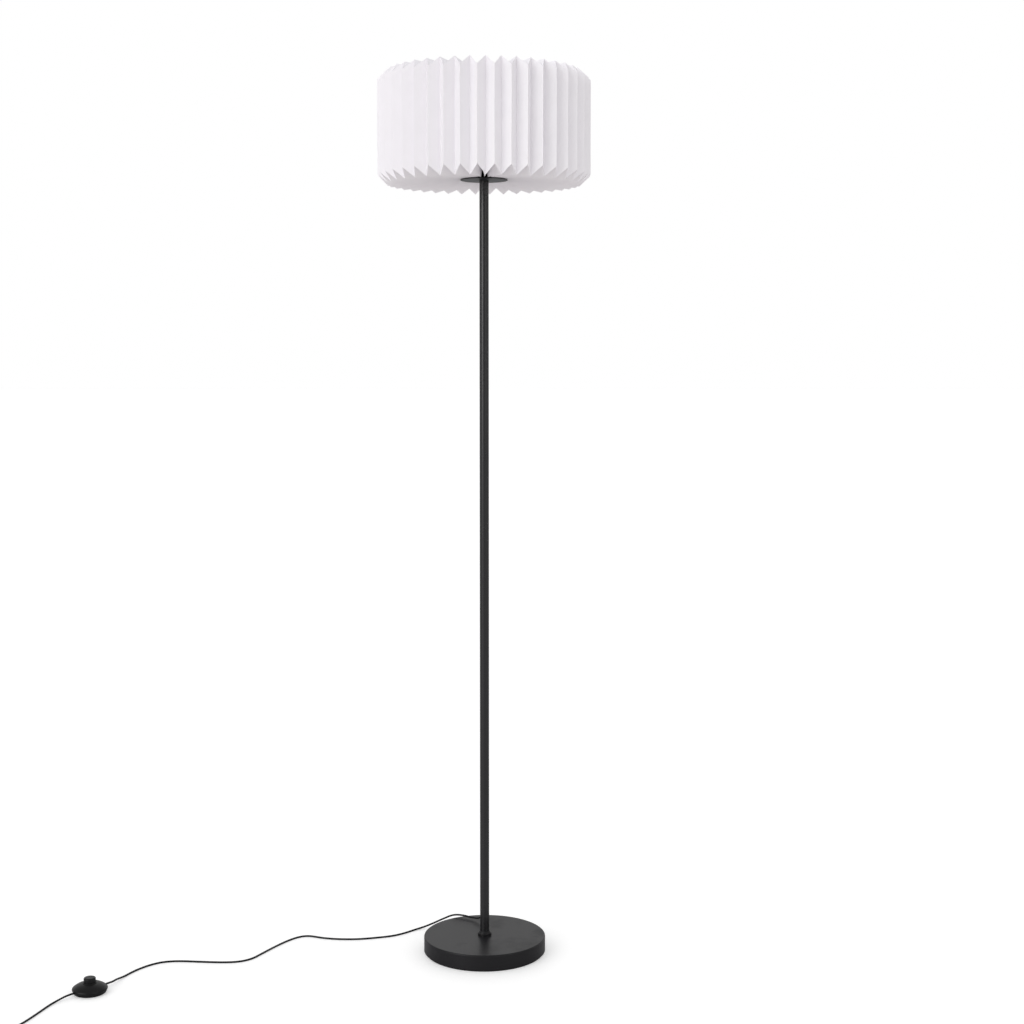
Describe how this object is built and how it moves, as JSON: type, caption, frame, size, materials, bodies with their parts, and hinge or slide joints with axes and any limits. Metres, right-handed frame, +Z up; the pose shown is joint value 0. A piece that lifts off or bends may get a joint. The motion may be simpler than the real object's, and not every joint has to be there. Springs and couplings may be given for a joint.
{
  "type": "floor lamp",
  "caption": "Slim black pole on a round weighted base, carrying a white pleated paper drum shade; corded, with a round foot switch and a two-pin plug.",
  "frame": {"origin": "on the floor under the pole's axis, at the centre of the round base", "axes": "+Z up along the pole; the lamp's front faces -Y; the cord leaves the pole towards +Y and lies on the floor towards -X"},
  "size_m": [0.9218, 0.6426, 1.5248],
  "materials": {
    "black_paint": "matt black powder coat, finely grained",
    "pole_paint": "satin black powder coat",
    "concrete": "cast concrete",
    "foam_pad": "black foam pad",
    "zinc_steel": "zinc-plated steel",
    "black_plastic": "matt black moulded plastic",
    "switch_plastic": "black moulded plastic with a faint satin sheen",
    "holder_ceramic": "glazed steatite",
    "brass": "plain brass",
    "nickel_cap": "nickel-plated screw cap",
    "bulb_white": "white moulded plastic",
    "bulb_opal": "opal diffuser",
    "board": "white circuit board",
    "shade_paper": "white pleated paper",
    "card": "grey card",
    "white_plastic": "white moulded plastic",
    "cord_sheath": "black PVC sheath",
    "tie": "black plastic tie"
  },
  "bodies": {
    "lamp": {"base_cover": "black_paint", "base_weight": "concrete", "base_pad": "foam_pad", "pole_collar": "black_paint", "foot_washer": "zinc_steel", "foot_nut": "zinc_steel", "foot_stud": "zinc_steel", "pole_lower": "pole_paint", "pole_middle": "pole_paint", "pole_upper": "pole_paint", "pole_inserts": "zinc_steel", "pole_joint_studs": "zinc_steel", "cord_relief": "black_plastic", "support_disc": "black_paint", "disc_locknut": "zinc_steel", "top_stud": "zinc_steel", "holder_cap": "black_plastic", "holder_shell": "black_plastic", "holder_core": "holder_ceramic", "holder_sleeve": "brass", "holder_centre_contact": "brass", "holder_terminal_screws": "brass", "bulb_screw_cap": "nickel_cap", "bulb_cap_insulator": "black_plastic", "bulb_contact": "brass", "bulb_housing": "bulb_white", "bulb_globe": "bulb_opal", "bulb_led_board": "board", "switch_cover": "switch_plastic", "switch_base": "switch_plastic", "switch_block": "white_plastic", "switch_spring": "zinc_steel", "switch_cord_clamps": "white_plastic", "switch_clamp_screws": "zinc_steel", "switch_leads": "cord_sheath", "inner_lead": "cord_sheath", "cord_to_switch": "cord_sheath", "cord_from_switch": "cord_sheath", "cord_coil": "cord_sheath", "cord_to_plug": "cord_sheath", "coil_tie": "tie", "plug_body": "black_plastic", "plug_relief": "black_plastic", "plug_pins": "brass", "plug_pin_sleeves": "black_plastic"},
    "shade": {"paper_crown": "shade_paper", "paper_wall": "shade_paper", "paper_foot": "shade_paper", "shade_crown_ring": "card", "shade_foot_ring": "card"},
    "button": {"switch_button": "switch_plastic"}
  },
  "joints": [
    {"name": "shade_lift", "type": "slide", "parent": "lamp", "child": "shade", "axis": [0, 0, 1], "range_m": [0, 0.15]},
    {"name": "switch_press", "type": "slide", "parent": "lamp", "child": "button", "axis": [0, 0, -1], "range_m": [0, 0.0035], "stiffness_N_per_m": 600, "springref_m": -0.002}
  ]
}
